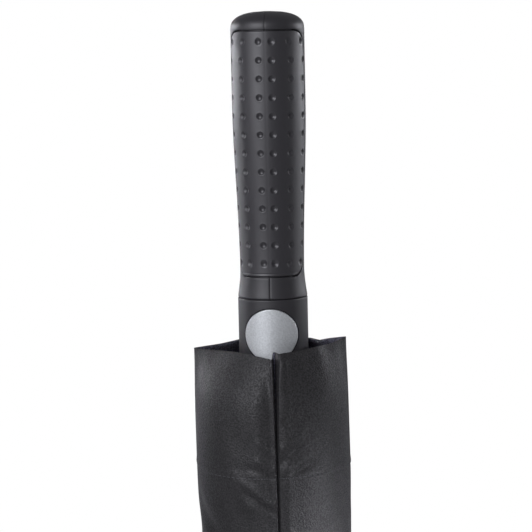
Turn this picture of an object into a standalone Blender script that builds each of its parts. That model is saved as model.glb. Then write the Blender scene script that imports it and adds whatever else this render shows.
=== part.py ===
"""Golf umbrella, closed and in its carry sleeve, standing on its ferrule with the handle up.

The frame is metres with +Z up. The origin is the centre of the ferrule's flat tip, and the shaft
runs along +Z.
The button faces -Y. Rib 1 points along +X, and the others follow every 45 degrees.

The opening linkage is isosceles: the stretcher is as long as the rib's inner arm, and the notch and the
runner carry their pivots at one radius. A rib that turns by A then turns its stretcher by -2A on the rib,
and the runner by A on the stretcher, so the runner stays upright and runs straight along the shaft.
"""

import math

import bmesh
import bpy
from mathutils import Matrix, Vector

MM = 0.001

# Clearances
GAP = 0.3 * MM  # between pieces that touch
RUNNING = 0.4 * MM  # between pieces that slide or turn

# Shaft and tip
SHAFT_R = 7.0 * MM
SHAFT_WALL = 0.9 * MM
FERRULE_LENGTH = 60.0 * MM
FERRULE_TIP_R = 3.6 * MM
FERRULE_TOP_R = 9.2 * MM
FERRULE_SOLID = 40.0 * MM  # below the end of the shaft
RAIN_CAP_R = 15.0 * MM
RAIN_CAP_HEIGHT = 5.0 * MM

# Ribs, stretchers and their pivots
RIB_COUNT = 8
PIVOT_R = 10.0 * MM  # radius of the pivot circles on the notch and on the runner
NOTCH_Z = 80.0 * MM  # height of the notch's pivots
ARM = 320.0 * MM  # notch pivot to stretcher pivot, and stretcher pivot to runner pivot
ARM_STAND_OFF = 6.2 * MM  # how far the stretcher pivot stands outside the pivot circle when closed
RIB_LENGTH = 735.0 * MM
ROD_R = 2.0 * MM
ROD_TIP_STAND_OFF = 16.0 * MM  # the rod's end outside the pivot circle
ROD_BOW = 4.6 * MM  # how far the closed rod bows outwards from its chord
EYE_R = 2.3 * MM
EYE_THICKNESS = 1.6 * MM
EYE_NECK = 12.0 * MM  # length of the flattened end behind an eye
PIVOT_WIRE_R = 0.6 * MM
STRETCHER_WIDTH = 3.2 * MM
STRETCHER_DEPTH = 3.6 * MM
TIP_CAP_R = 3.1 * MM
TIP_CAP_LENGTH = 16.0 * MM
CLIP_LENGTH = 16.0 * MM
CLIP_WALL = 1.3 * MM
OPEN_TURN = math.radians(63.5)  # how far each rib turns from closed to open

# Hubs
HUB_R = 13.0 * MM
HUB_HALF_HEIGHT = 6.5 * MM
RUNNER_R = 10.6 * MM
RUNNER_GRIP_R = 13.2 * MM
RUNNER_GRIP_DROP = 18.0 * MM  # mouth of the button housing to the foot of the finger grip
RUNNER_GRIP_HEIGHT = 6.0 * MM
RUNNER_TAIL_R = 11.0 * MM
DRIVE_PIN_RISE = 32.0 * MM  # runner pivots to drive pin
DRIVE_PIN_R = 1.4 * MM
PLUNGER_HALF_LENGTH = 9.0 * MM

# Handle
TOTAL_LENGTH = 1000.0 * MM
COLLAR_DROP = 145.0 * MM  # handle top to the joint between collar and button housing
HOUSING_DROP = 210.0 * MM  # handle top to the mouth of the button housing
HOUSING_R = 17.85 * MM
HOUSING_WALL = 2.3 * MM
HOUSING_ROOF = 2.0 * MM
HANDLE_TOP_R = 18.75 * MM
HANDLE_WAIST_R = 16.4 * MM
CROWN_HEIGHT = 9.0 * MM
CROWN_POWER = 2.5
TAPER_START_DROP = 45.0 * MM
GRIP_TOP_DROP = 9.3 * MM
GRIP_BOTTOM_DROP = 134.2 * MM
GRIP_HALF_ANGLE = math.radians(82.0)
GRIP_CORNER_R = 11.0 * MM
GRIP_THICKNESS = 2.2 * MM
GRIP_GROOVE = 0.7 * MM  # width of the groove round each grip panel
HANDLE_PIN_DROP = 83.0 * MM
HANDLE_PIN_R = 1.5 * MM
BORE_DROP = 40.0 * MM  # handle top to the blind end of the shaft's bore

# Button and catch
BUTTON_DROP = 163.4 * MM
BUTTON_R = 13.4 * MM
BUTTON_GAP = 0.6 * MM
BUTTON_PROUD = 0.3 * MM
BUTTON_TRAVEL = 2.0 * MM
BUTTON_BACK = 9.8 * MM  # distance of the button's flat back from the shaft's axis
BUTTON_POCKET_R = 5.2 * MM
BUTTON_POCKET_FLOOR = 14.6 * MM
CATCH_RISE = 5.0 * MM  # mouth of the button housing to the catch
CATCH_THICKNESS = 1.2 * MM
CATCH_BITE = 1.7 * MM  # how far the catch reaches over the runner's lip

# Springs
OPENING_SPRING_PLAY = 1.1 * MM  # round the spring in the shaft
OPENING_SPRING_WIRE_R = 0.7 * MM
OPENING_SPRING_TURNS = 20
BUTTON_SPRING_R = 4.0 * MM
BUTTON_SPRING_WIRE_R = 0.35 * MM
BUTTON_SPRING_TURNS = 4

# Canopy, tie strap and sleeve
SLEEVE_LAP = 39.0 * MM  # how far the sleeve's rim reaches past the housing's mouth
SLEEVE_FOOT_Z = 44.0 * MM
SLEEVE_RIM_R = 39.2 * MM
SLEEVE_FOOT_R = 20.0 * MM
SLEEVE_WALL = 1.2 * MM
SLEEVE_SHOULDER = 42.0 * MM  # height over which the foot closes in round the ferrule
CANOPY_FOOT_Z = 92.0 * MM
CANOPY_HEM_BACK = 16.0 * MM  # rib's end to the canopy's hem
CANOPY_SLACK = 2.6 * MM  # folded canopy to sleeve, with room for the tie strap
CANOPY_HALF_ANGLE = math.radians(15.0)
STRAP_Z = 640.0 * MM
STRAP_WIDTH = 25.0 * MM
STRAP_THICKNESS = 1.0 * MM

ROUND = 32  # sides of a large round piece
SMALL_ROUND = 12

# Worked out from the sizes above
HANDLE_TOP_Z = TOTAL_LENGTH
COLLAR_Z = HANDLE_TOP_Z - COLLAR_DROP
HOUSING_Z = HANDLE_TOP_Z - HOUSING_DROP
BUTTON_Z = HANDLE_TOP_Z - BUTTON_DROP
HANDLE_PIN_Z = HANDLE_TOP_Z - HANDLE_PIN_DROP
CATCH_Z = HOUSING_Z + CATCH_RISE
RUNNER_GRIP_Z = HOUSING_Z - RUNNER_GRIP_DROP
SLEEVE_RIM_Z = HOUSING_Z + SLEEVE_LAP
CANOPY_HEM_Z = NOTCH_Z + RIB_LENGTH - CANOPY_HEM_BACK
OPENING_SPRING_R = SHAFT_R - SHAFT_WALL - OPENING_SPRING_PLAY
BORE_R = SHAFT_R + GAP
CLOSED_ANGLE = math.asin(ARM_STAND_OFF / ARM)
ARM_RISE = ARM * math.cos(CLOSED_ANGLE)
RUNNER_Z = NOTCH_Z + 2 * ARM_RISE
RUNNER_PIN_Z = RUNNER_Z + DRIVE_PIN_RISE
RUNNER_TRAVEL = 2 * (ARM_RISE - ARM * math.cos(CLOSED_ANGLE + OPEN_TURN))
SLOT_WIDTH = 2 * (DRIVE_PIN_R + RUNNING)
EYE_HOLE_R = PIVOT_WIRE_R + GAP
HUB_SLOT_WIDTH = EYE_THICKNESS + 2 * GAP
HUB_SLOT_FLOOR_R = PIVOT_R - EYE_R - GAP / 2
RIM_LEDGE = 3.0 * MM  # height of the housing's inner lip
RUNNER_TAIL_TOP = CATCH_Z + CATCH_THICKNESS + 7.0 * MM


def clear_scene():
    for obj in list(bpy.data.objects):
        bpy.data.objects.remove(obj)


def material(name, colour, roughness, metallic=0.0):
    made = bpy.data.materials.new(name)
    made.use_nodes = True
    shader = made.node_tree.nodes["Principled BSDF"]
    shader.inputs["Base Color"].default_value = (*colour, 1.0)
    shader.inputs["Roughness"].default_value = roughness
    shader.inputs["Metallic"].default_value = metallic
    made.diffuse_color = (*colour, 1.0)
    return made


# ---------------------------------------------------------------- mesh helpers


def link(name, mesh, finish=None, parent=None, place=None):
    """A named object that shows this mesh."""
    obj = bpy.data.objects.new(name, mesh)
    bpy.context.scene.collection.objects.link(obj)
    if finish is not None:
        mesh.materials.clear()
        mesh.materials.append(finish)
        mesh.shade_smooth()
        mesh.set_sharp_from_angle(angle=math.radians(35))
    if place is not None:
        obj.matrix_world = place
    if parent is not None:
        obj.parent = parent
        obj.matrix_parent_inverse = parent.matrix_world.inverted()
    return obj


def mesh_of(bm, name="shape"):
    bmesh.ops.recalc_face_normals(bm, faces=bm.faces)
    mesh = bpy.data.meshes.new(name)
    bm.to_mesh(mesh)
    bm.free()
    return mesh


def turned(profile, sides=ROUND):
    """A closed profile of (radius, height) points spun round Z."""
    bm = bmesh.new()
    points = [bm.verts.new((r, 0.0, z)) for r, z in profile]
    edges = [bm.edges.new((a, b)) for a, b in zip(points, points[1:] + points[:1])]
    bmesh.ops.spin(
        bm,
        geom=points + edges,
        cent=(0, 0, 0),
        axis=(0, 0, 1),
        angle=math.tau,
        steps=sides,
        use_merge=False,
    )
    bmesh.ops.remove_doubles(bm, verts=bm.verts, dist=1e-6)
    bmesh.ops.dissolve_degenerate(bm, edges=bm.edges, dist=1e-7)
    return mesh_of(bm)


def cylinder(radius, start, end, sides=SMALL_ROUND):
    """A cylinder between two points."""
    start, end = Vector(start), Vector(end)
    along = end - start
    bm = bmesh.new()
    turn = along.to_track_quat("Z", "Y").to_matrix().to_4x4()
    bmesh.ops.create_cone(
        bm,
        cap_ends=True,
        segments=sides,
        radius1=radius,
        radius2=radius,
        depth=along.length,
        matrix=Matrix.Translation((start + end) / 2) @ turn,
    )
    return mesh_of(bm)


def block(low, high):
    """A box between two corners."""
    low, high = Vector(low), Vector(high)
    bm = bmesh.new()
    size = Matrix.Diagonal((*(high - low), 1))
    bmesh.ops.create_cube(bm, size=1, matrix=Matrix.Translation((low + high) / 2) @ size)
    return mesh_of(bm)


def combined(base, others, operation):
    """The mesh left when others are cut from, joined to or kept within base."""
    target = link("work", base)
    helpers = [link("tool", other) for other in others]
    for helper in helpers:
        cut = target.modifiers.new("cut", "BOOLEAN")
        cut.operation = operation
        cut.solver = "EXACT"
        cut.object = helper
    graph = bpy.context.evaluated_depsgraph_get()
    made = bpy.data.meshes.new_from_object(target.evaluated_get(graph))
    for obj in [target, *helpers]:
        bpy.data.objects.remove(obj)
    return made


def cut(base, *tools):
    return combined(base, tools, "DIFFERENCE")


def join(base, *others):
    return combined(base, others, "UNION")


def keep(base, *tools):
    return combined(base, tools, "INTERSECT")


def turned_mesh(mesh, matrix):
    """A copy of a mesh, moved by a matrix."""
    made = mesh.copy()
    made.transform(matrix)
    return made


def round_z(angle):
    return Matrix.Rotation(angle, 4, "Z")


def lofted(rings):
    """A solid through rings of points, closed at both ends."""
    bm = bmesh.new()
    loops = [[bm.verts.new(p) for p in ring] for ring in rings]
    for low, high in zip(loops, loops[1:]):
        for i in range(len(low)):
            j = (i + 1) % len(low)
            bm.faces.new((low[i], low[j], high[j], high[i]))
    bm.faces.new(loops[0])
    bm.faces.new(loops[-1])
    return mesh_of(bm)


def coil(name, radius, wire_r, start, end, turns, steps_per_turn, finish, parent=None):
    """A helical spring between two points, as a bevelled curve with closed ends."""
    start, end = Vector(start), Vector(end)
    along = (end - start).normalized()
    side = along.orthogonal().normalized()
    other = along.cross(side)
    first, last = start + along * wire_r, end - along * wire_r
    count = turns * steps_per_turn + 1
    curve = bpy.data.curves.new(name, "CURVE")
    curve.dimensions = "3D"
    curve.bevel_depth = wire_r
    curve.bevel_resolution = 1
    curve.use_fill_caps = True
    spline = curve.splines.new("POLY")
    spline.points.add(count - 1)
    for i in range(count):
        share = i / (count - 1)
        angle = math.tau * turns * share
        point = first.lerp(last, share) + radius * (math.cos(angle) * side + math.sin(angle) * other)
        spline.points[i].co = (*point, 1.0)
    curve.materials.append(finish)
    obj = bpy.data.objects.new(name, curve)
    bpy.context.scene.collection.objects.link(obj)
    if parent is not None:
        obj.parent = parent
        obj.matrix_parent_inverse = parent.matrix_world.inverted()
    return obj


def pivot(name, place):
    """An empty on a joint's axis, which its moving pieces hang from."""
    obj = bpy.data.objects.new(name, None)
    bpy.context.scene.collection.objects.link(obj)
    obj.matrix_world = place
    bpy.context.view_layer.update()
    return obj


# ---------------------------------------------------------------- shaft and tip


def make_shaft(finish):
    inner = SHAFT_R - SHAFT_WALL
    low, high = FERRULE_SOLID + GAP, HANDLE_TOP_Z - BORE_DROP - GAP
    tube = turned([(inner, low), (SHAFT_R, low), (SHAFT_R, high), (inner, high)])
    slot_low = RUNNER_PIN_Z - RUNNER_TRAVEL - DRIVE_PIN_R - RUNNING
    slot_high = RUNNER_PIN_Z + DRIVE_PIN_R + RUNNING
    slot = block(
        (-2 * SHAFT_R, -SLOT_WIDTH / 2, slot_low),
        (2 * SHAFT_R, SLOT_WIDTH / 2, slot_high),
    )
    reach = (0, 2 * SHAFT_R, 0)
    pin_hole = cylinder(
        HANDLE_PIN_R + GAP,
        Vector((0, 0, HANDLE_PIN_Z)) - Vector(reach),
        Vector((0, 0, HANDLE_PIN_Z)) + Vector(reach),
    )
    link("shaft", cut(tube, slot, pin_hole), finish)


def make_ferrule(finish):
    tip_round = 1.0 * MM
    collar = 8.0 * MM
    shoulder_r = SHAFT_R + GAP + 1.3 * MM
    profile = [
        (0, 0),
        (FERRULE_TIP_R, 0),
        (FERRULE_TIP_R + tip_round, tip_round),
        (FERRULE_TIP_R + 1.4 * tip_round, 3 * tip_round),
        (shoulder_r, FERRULE_SOLID - 3 * MM),
        (shoulder_r, FERRULE_LENGTH - collar),
        (FERRULE_TOP_R, FERRULE_LENGTH - collar + tip_round),
        (FERRULE_TOP_R, FERRULE_LENGTH),
        (BORE_R, FERRULE_LENGTH),
        (BORE_R, FERRULE_SOLID),
        (0, FERRULE_SOLID),
    ]
    link("ferrule", turned(profile, 24), finish)


def make_rain_cap(finish):
    low = FERRULE_LENGTH + GAP
    lip = 1.2 * MM
    profile = [
        (BORE_R, low),
        (FERRULE_TOP_R, low),
        (RAIN_CAP_R, low + RAIN_CAP_HEIGHT - lip),
        (RAIN_CAP_R, low + RAIN_CAP_HEIGHT),
        (RAIN_CAP_R - 2 * lip, low + RAIN_CAP_HEIGHT),
        (BORE_R, low + 2 * lip),
    ]
    link("rain_cap", turned(profile, 24), finish)


# ---------------------------------------------------------------- hubs and pivots


def hub_slots(height, mouth):
    """One cutter for each rib slot round a hub. mouth is +1 where the slots open upwards, -1 downwards."""
    far = 2 * HUB_R
    floor = height - mouth * (EYE_R + GAP)
    end = height + mouth * 3 * HUB_HALF_HEIGHT
    for i in range(RIB_COUNT):
        slot = block(
            (HUB_SLOT_FLOOR_R, -HUB_SLOT_WIDTH / 2, min(floor, end)),
            (far, HUB_SLOT_WIDTH / 2, max(floor, end)),
        )
        slot.transform(round_z(math.tau * i / RIB_COUNT))
        yield slot


def wire_groove(height):
    """The groove that a pivot wire lies in: half its depth inside the wire's circle."""
    half = EYE_HOLE_R
    return [
        (HUB_R, height + half),
        (PIVOT_R - half, height + half),
        (PIVOT_R - half, height - half),
        (HUB_R, height - half),
    ]


def make_notch(finish):
    low, high = NOTCH_Z - HUB_HALF_HEIGHT, NOTCH_Z + HUB_HALF_HEIGHT
    profile = [(BORE_R, high), (HUB_R, high), *wire_groove(NOTCH_Z), (HUB_R, low), (BORE_R, low)]
    link("notch", cut(turned(profile), *hub_slots(NOTCH_Z, 1)), finish)


def pivot_wire(finish, name, height, parent=None):
    """The wire ring that every rib or stretcher end on a hub turns on."""
    section = [
        (
            PIVOT_R + PIVOT_WIRE_R * math.cos(math.tau * i / 6),
            height + PIVOT_WIRE_R * math.sin(math.tau * i / 6),
        )
        for i in range(6)
    ]
    link(name, turned(section), finish, parent)


def make_runner(finish, steel, parent):
    """The runner: a slotted head, a sleeve, a finger grip and a tail with the lip that the catch holds."""
    low = RUNNER_Z - HUB_HALF_HEIGHT
    head_top = RUNNER_Z + HUB_HALF_HEIGHT
    lip_low = CATCH_Z + CATCH_THICKNESS + RUNNING
    groove_low = CATCH_Z - RUNNING
    groove_r = RUNNER_TAIL_R - CATCH_BITE - GAP
    grip_top = RUNNER_GRIP_Z + RUNNER_GRIP_HEIGHT
    ease = 1.0 * MM
    profile = [
        (BORE_R, RUNNER_TAIL_TOP),
        (RUNNER_TAIL_R - ease, RUNNER_TAIL_TOP),
        (RUNNER_TAIL_R, RUNNER_TAIL_TOP - 2 * ease),
        (RUNNER_TAIL_R, lip_low),
        (groove_r, lip_low),
        (groove_r, groove_low),
        (RUNNER_TAIL_R, groove_low),
        (RUNNER_TAIL_R, grip_top + ease),
        (RUNNER_GRIP_R, grip_top),
        (RUNNER_GRIP_R, RUNNER_GRIP_Z),
        (RUNNER_R, RUNNER_GRIP_Z - 2 * ease),
        (RUNNER_R, head_top + 2 * ease),
        (HUB_R, head_top),
        *wire_groove(RUNNER_Z),
        (HUB_R, low),
        (BORE_R, low),
    ]
    reach = 2 * RUNNER_R
    pin_hole = cylinder(
        DRIVE_PIN_R + GAP, (-reach, 0, RUNNER_PIN_Z), (reach, 0, RUNNER_PIN_Z)
    )
    body = cut(turned(profile), pin_hole, *hub_slots(RUNNER_Z, -1))
    link("runner", body, finish, parent)
    pivot_wire(steel, "runner_ring", RUNNER_Z, parent)
    plunger_r = SHAFT_R - SHAFT_WALL - GAP
    slug = cylinder(
        plunger_r,
        (0, 0, RUNNER_PIN_Z - PLUNGER_HALF_LENGTH),
        (0, 0, RUNNER_PIN_Z + PLUNGER_HALF_LENGTH),
        24,
    )
    half_pin = RUNNER_R - GAP
    pin = cylinder(
        DRIVE_PIN_R, (-half_pin, 0, RUNNER_PIN_Z), (half_pin, 0, RUNNER_PIN_Z)
    )
    link("spring_plunger", join(slug, pin), steel, parent)


# ---------------------------------------------------------------- ribs


def rod_stand_off(share):
    """How far the rod's centreline stands outside the pivot circle, at a share of its length."""
    return ROD_TIP_STAND_OFF * share + ROD_BOW * 4 * share * (1 - share)


def rod_mesh(first, last, stations, radius=ROD_R, sides=8):
    """The stretch of the bowed rod between two distances from the notch, as seen in the rib's own plane."""
    rings = []
    for i in range(stations + 1):
        along = first + (last - first) * i / stations
        out = rod_stand_off(along / RIB_LENGTH)
        rings.append(
            [
                (
                    out + radius * math.cos(math.tau * (j + 0.5) / sides),
                    radius * math.sin(math.tau * (j + 0.5) / sides),
                    along,
                )
                for j in range(sides)
            ]
        )
    return lofted(rings)


def eye(hole_r):
    """A flat eye on a pivot at the origin, with its hole left for cutting."""
    half = EYE_THICKNESS / 2
    disc = cylinder(EYE_R, (0, -half, 0), (0, half, 0), 16)
    hole = cylinder(hole_r, (0, -4 * half, 0), (0, 4 * half, 0), 8)
    return disc, hole


def rib_mesh():
    """One rib in its own plane: pivot at the origin, outwards along X, and up along Z when closed."""
    half = EYE_THICKNESS / 2
    disc, hole = eye(EYE_HOLE_R)
    neck = lofted(
        [
            [
                (out - EYE_R * 0.75, -half, z),
                (out + EYE_R * 0.75, -half, z),
                (out + EYE_R * 0.75, half, z),
                (out - EYE_R * 0.75, half, z),
            ]
            for z in (0.0, EYE_NECK + 4 * MM)
            for out in [rod_stand_off(z / RIB_LENGTH)]
        ]
    )
    rod = rod_mesh(EYE_NECK, RIB_LENGTH - 4 * MM, 14)
    return cut(join(rod, neck, disc), hole)


def clip_mesh():
    """The clip at a rib's middle: a block on the rod, and two lugs inwards with the stretcher's rivet."""
    rod_out = rod_stand_off(ARM_RISE / RIB_LENGTH)
    half_width = EYE_THICKNESS / 2 + GAP + CLIP_WALL
    half_length = CLIP_LENGTH / 2
    slope = (rod_stand_off((ARM_RISE + 1 * MM) / RIB_LENGTH) - rod_out) / (1 * MM)
    body = block(
        (rod_out - ROD_R - CLIP_WALL, -half_width - 0.3 * MM, -half_length),
        (rod_out + ROD_R + CLIP_WALL, half_width + 0.3 * MM, half_length),
    )
    lean = Matrix.Translation((rod_out, 0, 0)) @ Matrix.Rotation(math.atan(slope), 4, "Y")
    body.transform(lean @ Matrix.Translation((-rod_out, 0, 0)))
    lug_r = EYE_R + 0.4 * MM
    lugs = []
    for side in (-1, 1):
        inner = side * (EYE_THICKNESS / 2 + GAP)
        outer = side * half_width
        lugs.append(
            block(
                (ARM_STAND_OFF, min(inner, outer), -lug_r),
                (rod_out, max(inner, outer), lug_r),
            )
        )
        lugs.append(cylinder(lug_r, (ARM_STAND_OFF, inner, 0), (ARM_STAND_OFF, outer, 0), 16))
    rivet_end = half_width + 0.4 * MM
    rivet = cylinder(
        PIVOT_WIRE_R, (ARM_STAND_OFF, -rivet_end, 0), (ARM_STAND_OFF, rivet_end, 0), 8
    )
    bore = rod_mesh(ARM_RISE - CLIP_LENGTH, ARM_RISE + CLIP_LENGTH, 4, ROD_R + GAP)
    bore.transform(Matrix.Translation((0, 0, -ARM_RISE)))
    fork_half = EYE_THICKNESS / 2 + GAP
    fork = block(
        (-HUB_R, -fork_half, -CLIP_LENGTH),
        (ARM_STAND_OFF + EYE_R + GAP, fork_half, CLIP_LENGTH),
    )
    made = cut(join(cut(join(body, *lugs), fork), rivet), bore)
    made.transform(Matrix.Translation((0, 0, ARM_RISE)))
    return made


def stretcher_mesh():
    """One stretcher, with its rib pivot at the origin and its runner pivot above and inside."""
    half = EYE_THICKNESS / 2
    disc, hole = eye(EYE_HOLE_R)
    rise = Matrix.Translation((0, 0, ARM))
    strap = block((-EYE_R * 0.75, -half, 0), (EYE_R * 0.75, half, ARM))
    bar = block(
        (-STRETCHER_DEPTH / 2, -STRETCHER_WIDTH / 2, EYE_NECK),
        (STRETCHER_DEPTH / 2, STRETCHER_WIDTH / 2, ARM - EYE_NECK),
    )
    made = join(bar, strap, disc, turned_mesh(disc, rise))
    made = cut(made, hole, turned_mesh(hole, rise))
    made.transform(Matrix.Rotation(-CLOSED_ANGLE, 4, "Y"))
    return made


def tip_mesh():
    """The cap on a rib's end, in the rib's own plane."""
    start = RIB_LENGTH - TIP_CAP_LENGTH
    out = rod_stand_off(1.0)
    ball = TIP_CAP_R * 0.75
    profile = [
        (0, start),
        (TIP_CAP_R * 0.85, start),
        (TIP_CAP_R, start + 3 * MM),
        (TIP_CAP_R, RIB_LENGTH - ball),
        (ball, RIB_LENGTH + ball * 0.5),
        (0, RIB_LENGTH + ball),
    ]
    cap = turned(profile, SMALL_ROUND)
    slope = math.atan((rod_stand_off(1.0) - rod_stand_off(1.0 - 1 * MM / RIB_LENGTH)) / (1 * MM))
    pose = Matrix.Translation((out, 0, RIB_LENGTH)) @ Matrix.Rotation(slope, 4, "Y")
    cap.transform(pose @ Matrix.Translation((0, 0, -RIB_LENGTH)))
    bore = rod_mesh(start - 2 * MM, RIB_LENGTH - 3.5 * MM, 2, ROD_R + GAP)
    return cut(cap, bore)


def make_ribs(rod_finish, clip_finish, tip_finish, steel):
    rib, clip, tip, stretcher = rib_mesh(), clip_mesh(), tip_mesh(), stretcher_mesh()
    for i in range(RIB_COUNT):
        turn = round_z(math.tau * i / RIB_COUNT)
        root = turn @ Matrix.Translation((PIVOT_R, 0, NOTCH_Z))
        knee = root @ Matrix.Translation((ARM_STAND_OFF, 0, ARM_RISE))
        link(f"rib_{i + 1}", rib, rod_finish, place=root)
        link(f"rib_clip_{i + 1}", clip, clip_finish, place=root)
        link(f"rib_tip_{i + 1}", tip, tip_finish, place=root)
        link(f"stretcher_{i + 1}", stretcher, steel, place=knee)


# ---------------------------------------------------------------- canopy, strap and sleeve


def sleeve_r(height):
    """The sleeve's outer radius: wide at the rim, barrelled, and narrow at the foot."""
    share = (height - SLEEVE_FOOT_Z) / (SLEEVE_RIM_Z - SLEEVE_FOOT_Z)
    return SLEEVE_FOOT_R + (SLEEVE_RIM_R - SLEEVE_FOOT_R) * math.sin(share * math.pi / 2) ** 0.9


def canopy_r(height):
    """The outside of the folded canopy."""
    return sleeve_r(height) - SLEEVE_WALL - CANOPY_SLACK


def make_canopy(finish):
    """Eight folded gores, each a slab between two ribs."""
    stations = 10
    steps = 4
    middle = math.pi / RIB_COUNT
    rings = []
    for i in range(stations + 1):
        z = CANOPY_FOOT_Z + (CANOPY_HEM_Z - CANOPY_FOOT_Z) * i / stations
        inner = PIVOT_R + rod_stand_off((z - NOTCH_Z) / RIB_LENGTH) + ROD_R + 2 * GAP
        angles = [middle + CANOPY_HALF_ANGLE * (2 * j / steps - 1) for j in range(steps + 1)]
        ring = [(canopy_r(z) * math.cos(a), canopy_r(z) * math.sin(a), z) for a in angles]
        ring += [(inner * math.cos(a), inner * math.sin(a), z) for a in reversed(angles)]
        rings.append(ring)
    gore = lofted(rings)
    gore.transform(Matrix.Translation((0, 0, -NOTCH_Z)))
    for i in range(RIB_COUNT):
        place = Matrix.Translation((0, 0, NOTCH_Z)) @ round_z(math.tau * i / RIB_COUNT)
        link(f"canopy_gore_{i + 1}", gore, finish, place=place)


def make_tie_strap(finish):
    low, high = STRAP_Z - STRAP_WIDTH / 2, STRAP_Z + STRAP_WIDTH / 2
    profile = [
        (canopy_r(low) + 2 * GAP, low),
        (canopy_r(low) + 2 * GAP + STRAP_THICKNESS, low),
        (canopy_r(high) + 2 * GAP + STRAP_THICKNESS, high),
        (canopy_r(high) + 2 * GAP, high),
    ]
    link("tie_strap", turned(profile), finish)


def make_sleeve(finish):
    """The carry sleeve: a long bag, open at the rim, with a hole in its foot for the ferrule."""
    hole_r = SHAFT_R + 5 * MM
    stations = 9
    outer = []
    for i in range(stations + 1):
        z = SLEEVE_FOOT_Z + SLEEVE_SHOULDER + (
            SLEEVE_RIM_Z - SLEEVE_FOOT_Z - SLEEVE_SHOULDER
        ) * i / stations
        outer.append((sleeve_r(z), z))
    shoulder = [
        (hole_r, SLEEVE_FOOT_Z - 30 * MM),
        (hole_r + 2.6 * MM, SLEEVE_FOOT_Z - 12 * MM),
        (hole_r + 5.5 * MM, SLEEVE_FOOT_Z + 8 * MM),
    ]
    wall = [*shoulder, *outer]
    inner = [(r - SLEEVE_WALL, z) for r, z in reversed(wall)]
    link("sleeve", turned(wall + inner), finish)


# ---------------------------------------------------------------- handle


def handle_r(drop):
    """The handle's radius at a distance below its top: a crowned end, a slow taper and a flared collar."""
    if drop < CROWN_HEIGHT:
        share = 1 - drop / CROWN_HEIGHT
        return HANDLE_TOP_R * (1 - share**CROWN_POWER) ** (1 / CROWN_POWER)
    if drop < TAPER_START_DROP:
        return HANDLE_TOP_R
    waist = GRIP_BOTTOM_DROP - 3 * MM
    if drop < waist:
        share = (drop - TAPER_START_DROP) / (waist - TAPER_START_DROP)
        return HANDLE_TOP_R - (HANDLE_TOP_R - HANDLE_WAIST_R) * share * share * (3 - 2 * share)
    share = min(1, (drop - waist) / (COLLAR_DROP - waist))
    return HANDLE_WAIST_R + (HOUSING_R - HANDLE_WAIST_R) * share**1.6


def grip_panel(inset, depth, proud=0.0):
    """A grip panel's solid, wrapped round the front of the handle: a rounded rectangle shrunk by inset.

    depth is how far it goes into the handle, and proud how far it stands out.
    """
    top = GRIP_TOP_DROP + inset
    bottom = GRIP_BOTTOM_DROP - inset
    half = GRIP_HALF_ANGLE * HANDLE_TOP_R - inset
    corner = GRIP_CORNER_R
    outline = []
    for centre_u, centre_v, start in (
        (half - corner, bottom - corner, 0),
        (-half + corner, bottom - corner, 90),
        (-half + corner, top + corner, 180),
        (half - corner, top + corner, 270),
    ):
        for step in range(5):
            a = math.radians(start + 90 * step / 4)
            outline.append((centre_u + corner * math.cos(a), centre_v + corner * math.sin(a)))
    bm = bmesh.new()
    face = bm.faces.new([bm.verts.new((u, v, 0.0)) for u, v in outline])
    raised = bmesh.ops.extrude_face_region(bm, geom=[face])["geom"]
    for vert in [g for g in raised if isinstance(g, bmesh.types.BMVert)]:
        vert.co.z = 1.0
    columns, rows = 12, 9
    for i in range(1, columns):
        slice_at(bm, (-half + 2 * half * i / columns, 0, 0), (1, 0, 0))
    for i in range(1, rows):
        slice_at(bm, (0, top + (bottom - top) * i / rows, 0), (0, 1, 0))
    for vert in bm.verts:
        u, v, layer = vert.co
        angle = u / HANDLE_TOP_R
        r = handle_r(v) + proud if layer > 0.5 else handle_r(v) - depth
        vert.co = (r * math.sin(angle), -r * math.cos(angle), HANDLE_TOP_Z - v)
    return mesh_of(bm)


def slice_at(bm, point, normal):
    """Cuts every face along a plane, so that the mesh can bend there."""
    bmesh.ops.bisect_plane(
        bm,
        geom=bm.verts[:] + bm.edges[:] + bm.faces[:],
        plane_co=point,
        plane_no=normal,
        dist=1e-7,
    )


def make_handle(plastic, rubber, steel):
    low = COLLAR_Z + GAP
    drops = [0.2, 0.7, 1.5, 2.7, 4.4, 6.6, 9.0, 27.0, 45.0, 60.0]
    drops += [75.0, 90.0, 105.0, 120.0, 131.0, 136.0, 140.5]
    outer = [(handle_r(d * MM), HANDLE_TOP_Z - d * MM) for d in drops]
    bore_top = HANDLE_TOP_Z - BORE_DROP
    profile = [
        (0, HANDLE_TOP_Z),
        *outer,
        (handle_r(COLLAR_DROP), low),
        (BORE_R, low),
        (BORE_R, bore_top),
        (0, bore_top),
    ]
    body = turned(profile, 48)
    pocket_front = grip_panel(0.0, GRIP_THICKNESS, 2 * MM)
    pocket_back = turned_mesh(pocket_front, round_z(math.pi))
    pin_reach = HANDLE_WAIST_R - GRIP_THICKNESS - GAP
    pin_ends = [Vector((0, side * pin_reach, HANDLE_PIN_Z)) for side in (-1, 1)]
    hole_ends = [Vector((0, side * 2 * HANDLE_TOP_R, HANDLE_PIN_Z)) for side in (-1, 1)]
    pin_hole = cylinder(HANDLE_PIN_R + GAP, *hole_ends)
    body = cut(body, pocket_front, pocket_back, pin_hole)
    far = 3 * HANDLE_TOP_R
    for name, side in (("handle_shell_left", -1), ("handle_shell_right", 1)):
        near = side * GAP / 2
        edge = side * far
        half = block(
            (min(near, edge), -far, 0), (max(near, edge), far, 2 * HANDLE_TOP_Z)
        )
        link(name, keep(body.copy(), half), plastic)
    panel = grip_panel(GRIP_GROOVE, GRIP_THICKNESS - GAP)
    link("grip_front", panel, rubber)
    link("grip_back", turned_mesh(panel, round_z(math.pi)), rubber)
    link("handle_pin", cylinder(HANDLE_PIN_R, *pin_ends), steel)


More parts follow.
